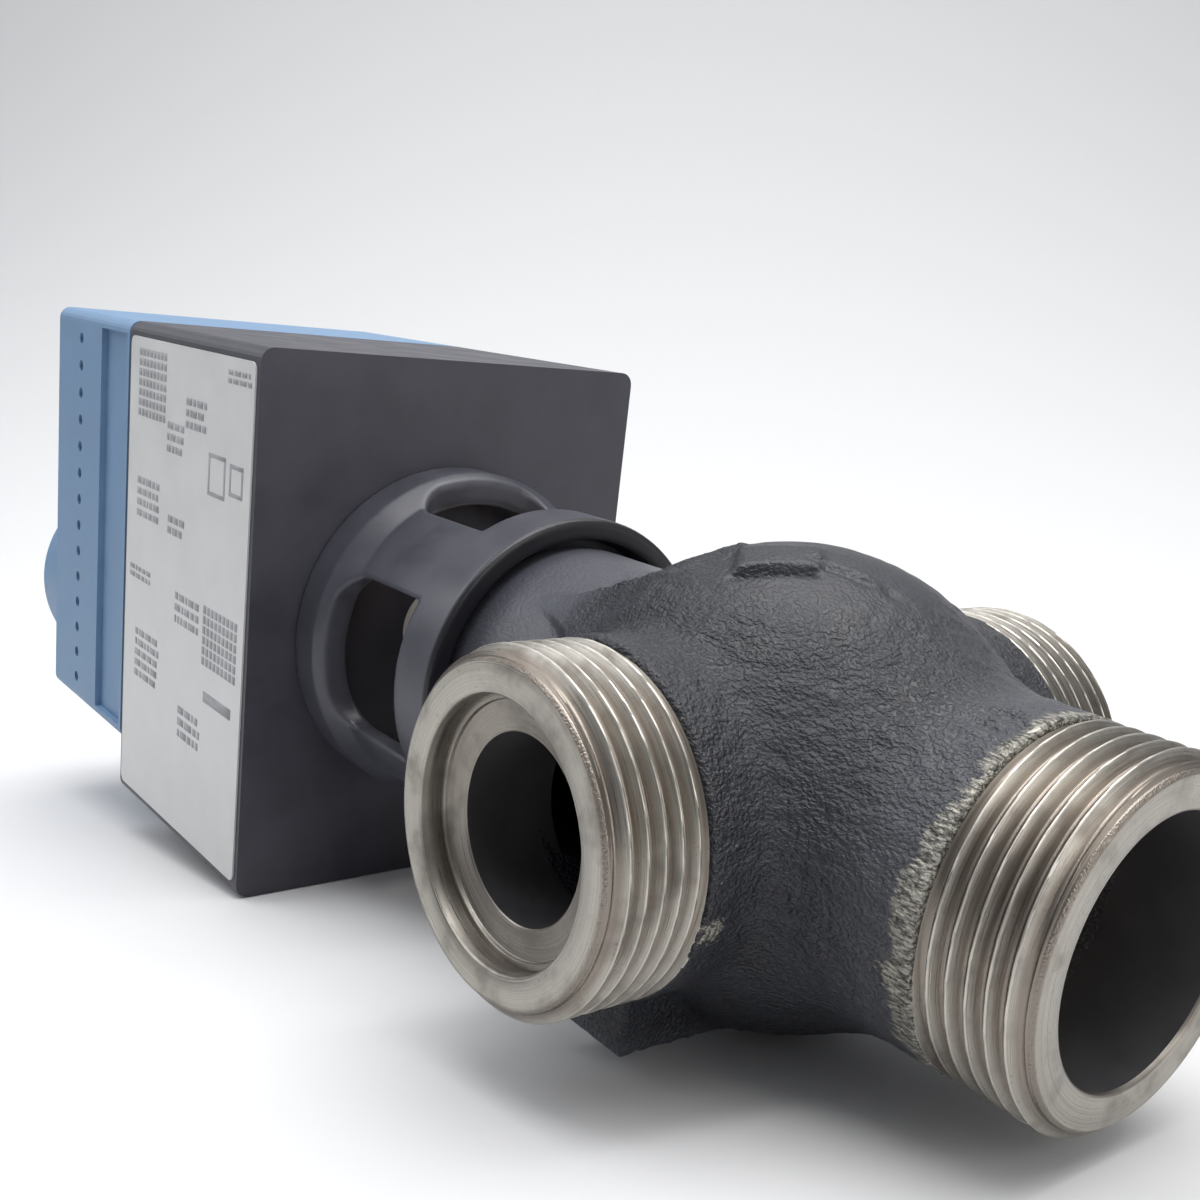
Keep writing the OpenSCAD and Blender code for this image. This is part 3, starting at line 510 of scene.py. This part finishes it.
def foundry_relief(q):
    """Height of the cast skin over its smooth shape, in mm: rough texture, then single marks."""
    x, y, z = q.T
    coarse = turned_noise(q * np.array((0.85, 1.0, 1.35), np.float32), 1.45, 11)
    ripple = 1 - np.abs(turned_noise(q * np.array((0.8, 1.0, 1.5), np.float32), 1.7, 31)) * 2
    lumps = turned_noise(q, 9.0, 51)
    on_neck = np.clip((-x - 27) / 5, 0, 1)
    on_top = np.clip((z - 24) / 5, 0, 1)
    low_side = np.clip((-z - 14) / 8, 0, 1)
    near_port = np.clip(np.maximum(np.abs(y) - 29.5, x - 36.5) / 2, 0, 1)
    rough = 0.17 * (1 - 0.88 * on_neck) * (1 - 0.7 * on_top) * (1 - 0.45 * low_side) * (1 - 0.5 * near_port)
    relief = coarse * rough + np.clip(ripple, -0.4, 1) * rough * 0.4 + lumps * 0.07 * (1 - 0.6 * on_neck)

    # raised foundry pad with its undercut, and a ridge beside it
    along, across = strip(q, (3.5, -10.7), (0.73, 0.68))
    pad = ease(across, 0.2, 0.7) * ease(across, 10, 6) * ease(along, -5.2, -4.4) * ease(along, 5.6, 4.8)
    undercut = np.exp(-((across + 0.15) / 0.55) ** 2) * ease(np.abs(along), 5.3, 4.5)
    relief += (0.75 * pad - 0.9 * undercut) * (z > 15)
    along, across = strip(q, (3.3, -5.8), (0.88, 0.47))
    ridge = np.exp(-(across / 0.6) ** 2) - np.exp(-((across + 1.1) / 0.6) ** 2)
    relief += 0.4 * ridge * ease(along, 0, 1.5) * ease(along, 9.5, 8) * (z > 15)

    # dents and bumps: height, place and half widths
    for height, centre, size in (
            (-0.75, (13.3, -0.9, 28.4), (1.5, 0.9, 1.2)),
            (0.25, (-6.0, -8.6, 29.8), (3.6, 2.6, 2.2)),
            (-1.10, (33.6, -5.0, 20.6), (1.5, 0.75, 1.8)),      # three slits by the axial port
            (-1.10, (36.4, -6.2, 20.4), (1.5, 0.75, 1.8)),
            (-0.90, (34.0, -8.2, 19.8), (2.4, 0.65, 1.8)),
            (0.30, (22.0, -22.0, -4.5), (3.2, 3.0, 1.1)),
            (-0.30, (22.4, -21.5, -3.2), (3.0, 2.6, 0.5)),
            (-0.35, (25.5, 6.0, 17.8), (2.0, 2.0, 1.0))):
        relief += height * bell(q, centre, size)
    return relief.astype(np.float32)


def passages(x, y, z, rx, ry):
    """Water passages: chambers and seat along x, the port bores and two slanting branches."""
    def round_x(radius, start, end):
        return np.maximum(rx - radius, np.maximum(start - x, x - end))

    holes = []
    for side in (-1, 1):
        start, end = np.array((5.0, 27.0)) * side, np.array((13.0, 16.0)) * side
        length = np.linalg.norm(end - start)
        run = (end - start) / length
        along = (x - start[0]) * run[0] + (y - start[1]) * run[1]
        aside = np.sqrt(((x - start[0]) * run[1] - (y - start[1]) * run[0]) ** 2 + z * z)
        holes.append(np.maximum(aside - 8.5, np.maximum(-along, along - length)))
    holes += [
        round_x(21.5, -18.0, -9.0),
        round_x(21.5, 5.0, 18.0),
        np.maximum(rx - BORE_X, 30.0 - x),
        round_x(14.4, 24.0, 31.0),
        round_x(13.5, -1.0, 25.0),
        round_x(9.0, -7.0, 0.0),
        round_x(14.0, -35.0, -6.0),
        np.maximum(rx - 15.0, x + 34.0),
        np.maximum(ry - BORE_Y, 26.0 - np.abs(y)),
    ]
    return np.minimum.reduce(holes)


def casting(step):
    """Skin of the casting between its machined port ends."""
    p, low = grid((-50.2, -33.2, -32.8), (39.8, 33.2, 32.6), step)
    x, y, z = p[..., 0], p[..., 1], p[..., 2]
    ax = np.abs(y)
    r = np.sqrt(x * x + y * y + z * z)
    rx, ry = np.sqrt(y * y + z * z), np.sqrt(x * x + z * z)
    neck = np.maximum(np.maximum(rx - NECK, -48.9 - x), x)
    tube_x = np.maximum(np.maximum(rx - (TUBE - 0.15), x - 38.9), -x)
    tube_y = np.maximum(ry - (TUBE - 0.15), ax - 32.0)
    lug = np.maximum(np.maximum(np.abs(x) - 7.3, np.maximum(-28.9 - y, y)), np.maximum(-27.9 - z, z))
    web_out = y * -0.64 + z * 0.77
    web_side = np.abs(y * 0.77 + z * 0.64)
    web = np.maximum(np.maximum(web_out - 20.9 - (x + 36) * 0.25, web_side - (x + 37.0) * 0.42),
                     np.maximum(-36.0 - x, x + 6))
    body = join_smooth(r - SHELL, neck, 1.6)
    body = join_smooth(body, np.maximum(web, -web_out), 1.4)
    body = join_smooth(body, tube_y, 2.2)
    body = join_smooth(body, tube_x, 6.5)
    body = join_smooth(body, lug, 1.6)

    near_skin = np.abs(body) < 2.2
    body[near_skin] -= foundry_relief(p[near_skin])
    body = np.maximum(body, np.maximum(-49.0 - x, np.maximum(ax - 31.75, x - 38.75)))
    body = np.maximum(body, -passages(x, y, z, rx, ry))
    return skin_of(body.astype(np.float32), low, step)


paint = cast_paint("cast_black_paint")
turned_grey = (0.43, 0.405, 0.362)
steel_y = machined("turned_metal_inline", turned_grey, 1)
steel_x = machined("turned_metal_axial", turned_grey, 0)
bore_black = plastic("bore_black", (0.046, 0.045, 0.048), rough=0.42, grain=0.8, depth=0.03)
body = piece("body_casting", [
    (*casting(0.45), 0),
    *port_parts(REACH_X, BORE_X, 0, 0, "x", 2, 3),
    *port_parts(REACH_Y, BORE_Y, RECESS, RECESS_DEPTH, "-y", 1, 4),
    *port_parts(REACH_Y, BORE_Y, RECESS, RECESS_DEPTH, "+y", 1, 5),
], [paint, steel_y, steel_x, bore_black])
body.data.set_sharp_from_angle(angle=math.radians(50))
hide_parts("valve_body")


# ---------------------------------------------------------------- yoke

def yoke_mesh(step):
    """Skin of the yoke: a tube with four windows, widening towards the actuator."""
    p, low = grid((-84.2, -29.0, -29.0), (-45.2, 29.0, 29.0), step)
    x, y, z = p[..., 0], p[..., 1], p[..., 2]
    depth = -x
    front, back = 45.9, 83.65       # end towards the valve, and end in the actuator's front
    tube, flange, room, throat = 26.2, 28.3, 23.0, 13.1
    rx = np.sqrt(y * y + z * z)
    flare = np.interp(depth, [front, 73.0, 77.5, 83.7], [tube, tube, flange, flange]).astype(np.float32)
    outer = -join_smooth(-np.maximum(rx - flare, depth - back), depth - front, 0.9)
    inside = np.minimum(np.maximum(rx - room, depth - 51.0), np.maximum(rx - room, 54.5 - depth))
    inside = np.minimum(inside, rx - throat)
    yoke = cut_smooth(outer, inside, 0.5)
    for across, up in ((y, z), (z, y)):
        # window with round corners on the actuator's side and sharp ones on the valve's
        half, start, end, corner = 12.3, 55.5, 75.5, 5.0
        qx = np.abs(across) - (half - corner)
        qd = depth - (end - corner)
        round_end = (np.sqrt(np.maximum(qx, 0) ** 2 + np.maximum(qd, 0) ** 2)
                     + np.minimum(np.maximum(qx, qd), 0) - corner)
        hole = np.maximum(np.maximum(round_end, start - depth), 8.0 - np.abs(up))
        yoke = cut_smooth(yoke, hole, 1.0)
    for k in range(4):
        # hole for a yoke screw
        a = math.radians(45 + 90 * k)
        screw_y, screw_z = 25.7 * math.cos(a), 25.7 * math.sin(a)
        from_axis = np.sqrt((y - screw_y) ** 2 + (z - screw_z) ** 2)
        yoke = np.maximum(yoke, -np.maximum(from_axis - 1.5, 79.0 - depth))
    return skin_of(yoke.astype(np.float32), low, step)


# the yoke's front rim face gets painted shade, near black, past x = -47
yoke_black = plastic("yoke_black", (0.046, 0.047, 0.060), rough=0.38, grain=0.45, depth=0.014,
                     painted_shade_from=-47.0)
yoke = piece("yoke_tube", [(*yoke_mesh(0.4), 0)], [yoke_black])
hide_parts("yoke")


# ---------------------------------------------------------------- carried-over nodes

def give(material, *names):
    """One material for the named CAD nodes."""
    for name in names:
        mesh = nodes[name].data
        mesh.materials.clear()
        mesh.materials.append(material)


def soften(names, width, segments=3):
    """Rounded edges of that width in mm on the named CAD nodes."""
    for name in names:
        nodes[name].data.shade_smooth()
        bevel = nodes[name].modifiers.new("edges", "BEVEL")
        bevel.width = width * MM
        bevel.segments = segments
        bevel.limit_method = "ANGLE"
        bevel.angle_limit = math.radians(35)
        bevel.harden_normals = True
        bevel.use_clamp_overlap = True


give(metal("bronze_parts", (0.66, 0.44, 0.22), 0.36), "seat_ring", "bonnet", "gland_nut", "motor_pinion")
give(metal("stainless_parts", (0.62, 0.61, 0.59), 0.24, 0.6, 0.006, None, (0.1, 1, 1)),
     "plug", "stem", "drive_spindle", "gear_axles", "drive_bearings", "motor_shaft", "hand_shaft")
give(metal("brass_turned", (0.72, 0.50, 0.24), 0.30, 0.5, 0.012, (0.35, 0.20, 0.10)),
     "yoke_nut", "stem_coupling")
give(metal("zinc_screws", (0.55, 0.56, 0.57), 0.34, 0.4, 0.01, (0.28, 0.27, 0.24)),
     "yoke_screws", "coupling_screw", "plate_screws", "motor_screws", "knob_screw", "board_screws",
     "cover_screws")
give(plastic("seal_rubber_black", (0.010, 0.010, 0.011), 0.62, 0.3, 0.02),
     "bonnet_seal", "cover_seal", "gland_insert")
give(plastic("packing_white", (0.62, 0.60, 0.54), 0.50, 0.5, 0.01), "stem_packing", "spindle_bush")
give(metal("sheet_steel_can", (0.50, 0.51, 0.52), 0.30, 0.5, 0.008, None, (1, 0.15, 1)),
     "gear_plate", "motor")
give(plastic("gear_acetal", (0.70, 0.69, 0.63), 0.38, 0.5, 0.008),
     "drive_gear", "second_gear", "first_gear", "hand_pinion")
give(plastic("board_green", (0.015, 0.10, 0.045), 0.30, 0.6, 0.01), "circuit_board")
give(plastic("terminal_grey", (0.20, 0.22, 0.22), 0.45), "terminal_block")
give(plastic("film_sleeve_orange", (0.42, 0.13, 0.03), 0.28), "capacitor")
give(plastic("gland_nylon", (0.020, 0.020, 0.022), 0.45, 0.4, 0.02), "cable_gland", "blanking_plug")
give(plastic("housing_black", (0.037, 0.036, 0.049), 0.45, 0.30, 0.016), "housing")
give(plastic("cover_blue", (0.130, 0.225, 0.360), 0.50, 0.35, 0.014, 0.025, 0.08), "cover")
give(plastic("knob_blue", (0.085, 0.160, 0.285), 0.46, 0.35, 0.014, 0.05, 0.08), "hand_knob")
give(plastic("label_film_white", (0.53, 0.535, 0.53), 0.36, 0.6, 0.004, 0.02, 0.04), "label")


def squares(x, z, columns, rows, size, pitch):
    """Boxes of a plain grid whose low left corner is at x, z. size and pitch are (along x, up)."""
    return [(x + pitch[0] * i, x + pitch[0] * i + size[0], z + pitch[1] * k, z + pitch[1] * k + size[1])
            for i in range(columns) for k in range(rows)]


def bars(rng, left, right, low, high, rows):
    """Boxes of rows of bars with random lengths, like lines of blurred print."""
    boxes = []
    pitch = (high - low) / rows
    for k in range(rows):
        x, top = left, high - pitch * k
        while x < right - 0.8:
            end = min(x + rng.uniform(0.8, 3.2), right)
            boxes.append((x, end, top - 0.62 * pitch, top))
            x = end + 0.5
    return boxes


def outline(left, right, low, high, line=0.7):
    """Boxes of a plain frame."""
    return [(left, right, low, low + line), (left, right, high - line, high),
            (left, left + line, low + line, high - line), (right - line, right, low + line, high - line)]


def label_print():
    """Generic printed marks on the label: grids of squares, rows of bars and two plain frames."""
    rng = np.random.default_rng(21)
    boxes = squares(-134.4, 29.6, 8, 7, (1.3, 1.3), (1.7, 1.78))
    # left, right, low, high and rows of each block of bars
    for block in ((-120.0, -112.4, 24.2, 30.2, 3), (-111.8, -103.0, 29.4, 35.2, 3),
                  (-94.9, -85.9, 38.9, 41.5, 2), (-133.8, -123.0, 10.5, 18.5, 4),
                  (-114.0, -103.2, -5.1, 1.1, 3), (-136.6, -126.2, -1.2, 1.7, 2),
                  (-133.0, -121.0, -20.0, -10.0, 5), (-111.0, -101.0, -25.5, -19.0, 3),
                  (-118.5, -111.0, 10.0, 14.0, 2)):
        boxes += bars(rng, *block)
    boxes += squares(-101.3, -8.7, 9, 6, (1.2, 1.4), (1.6, 1.78))
    boxes.append((-100.0, -88.5, -15.1, -13.2))
    boxes += outline(-101.5, -94.5, 20.4, 27.4) + outline(-92.9, -87.6, 21.6, 26.8)

    corners, faces = [], []
    for left, right, low, high in boxes:
        n = len(corners)
        for y in (LABEL_Y, LABEL_Y - 0.03):
            corners += [(left, y, low), (right, y, low), (right, y, high), (left, y, high)]
        faces += [(n + a, n + b, n + c, n + d) for a, b, c, d in
                  ((4, 5, 6, 7), (0, 1, 5, 4), (1, 2, 6, 5), (2, 3, 7, 6), (3, 0, 4, 7))]
    return corners, faces


print_grey = plastic("label_print_grey", (0.245, 0.250, 0.262), 0.40, 0.5, 0.003, 0.10, 0.20)
piece("label_print", [(*label_print(), 0)], [print_grey])
soften(["housing"], 0.7)
soften(["cover"], 0.5)
soften(["hand_knob", "cable_gland", "blanking_plug", "cover_screws", "knob_screw"], 0.35, 2)
soften(["yoke_nut", "gland_nut", "stem_coupling"], 0.3, 2)


# ---------------------------------------------------------------- stage, light and camera

def sweep_backdrop():
    """Pale floor under the housing's lower edge and the casting, rising into a plain wall behind them."""
    tilt = math.radians(9.0)        # of the floor against the valve's axis
    along = Vector((math.cos(tilt), 0, math.sin(tilt)))
    up = Vector((-math.sin(tilt), 0, math.cos(tilt)))
    rest = Vector((-0.1357, 0, -0.0452))
    yaw = math.radians(46)
    far = Vector((0, 1, 0)) * math.cos(yaw) - along * math.sin(yaw)
    side = up.cross(far)
    near, start, bend, top, half_width = -4.0, 0.30, 1.25, 3.0, 5.0
    path = [(near, 0.0), (start, 0.0)]
    steps = 24
    for k in range(1, steps + 1):
        a = math.radians(90 * k / steps)
        path.append((start + bend * math.sin(a), bend * (1 - math.cos(a))))
    path.append((start + bend, top))
    corners = [tuple(rest + far * distance + up * height + side * aside)
               for distance, height in path for aside in (-half_width, half_width)]
    faces = [(2 * i, 2 * i + 1, 2 * i + 3, 2 * i + 2) for i in range(len(path) - 1)]
    mesh = bpy.data.meshes.new("backdrop")
    mesh.from_pydata(corners, [], faces)
    mesh.shade_smooth()
    o = bpy.data.objects.new("backdrop", mesh)
    bpy.context.scene.collection.objects.link(o)
    paper = bpy.data.materials.new("backdrop_paper")
    paper.use_nodes = True
    main = paper.node_tree.nodes["Principled BSDF"]
    main.inputs["Base Color"].default_value = (0.67, 0.67, 0.675, 1)
    main.inputs["Roughness"].default_value = 0.55
    mesh.materials.append(paper)


def lamp(name, place, aim, size, power, tint):
    """Area lamp at a place in metres, turned towards aim."""
    data = bpy.data.lights.new(name, "AREA")
    data.shape = "RECTANGLE"
    data.size, data.size_y = size
    data.energy = power
    data.color = tint
    o = bpy.data.objects.new(name, data)
    bpy.context.scene.collection.objects.link(o)
    o.location = place
    o.rotation_euler = (Vector(aim) - Vector(place)).to_track_quat("-Z", "Y").to_euler()


sweep_backdrop()
target = (-0.08, 0, 0)
lamp("overhead", (-0.13, 0.12, 0.95), target, (1.1, 1.1), 10.5, (1.0, 0.99, 0.98))
lamp("wall_wash", (-0.05, -0.10, 1.35), (-1.50, 0.35, 0.90), (1.0, 0.6), 16.0, (0.98, 0.99, 1.0))
lamp("left_window", (-0.85, -0.55, 0.65), target, (0.7, 0.7), 3.6, (0.95, 0.97, 1.0))
lamp("right_fill", (0.75, 0.1, 0.40), target, (0.5, 0.6), 2.2, (1.0, 0.98, 0.95))

# sky light, brightest up and to the left behind the object
world = bpy.data.worlds.new("studio")
bpy.context.scene.world = world
world.use_nodes = True
sky = world.node_tree
direction = sky.nodes.new("ShaderNodeTexCoord")
lean = sky.nodes.new("ShaderNodeVectorMath")
lean.operation = "DOT_PRODUCT"
lean.inputs[1].default_value = (-0.50, 0.48, 0.72)
level = sky.nodes.new("ShaderNodeMapRange")
level.inputs["From Min"].default_value, level.inputs["From Max"].default_value = -0.55, 0.75
level.inputs["To Min"].default_value, level.inputs["To Max"].default_value = 0.10, 0.95
sky.links.new(direction.outputs["Generated"], lean.inputs[0])
sky.links.new(lean.outputs["Value"], level.inputs["Value"])
sky.links.new(level.outputs["Result"], sky.nodes["Background"].inputs["Strength"])
sky.nodes["Background"].inputs["Color"].default_value = (0.80, 0.82, 0.85, 1)

# camera fitted to the photo's thread crests, port circles and housing corners
camera_data = bpy.data.cameras.new("camera")
camera = bpy.data.objects.new("camera", camera_data)
bpy.context.scene.collection.objects.link(camera)
camera.location = (0.0615428, -0.1266971, 0.0563131)
camera.rotation_euler = Euler([math.radians(a) for a in (75.741153, -5.952650, 53.310465)])
camera_data.sensor_width = 36
camera_data.lens = 40.9528
camera_data.shift_x = 0.026884
camera_data.shift_y = 0.046319
camera_data.clip_start = 0.005
bpy.context.scene.camera = camera
bpy.context.scene.view_settings.view_transform = "Standard"
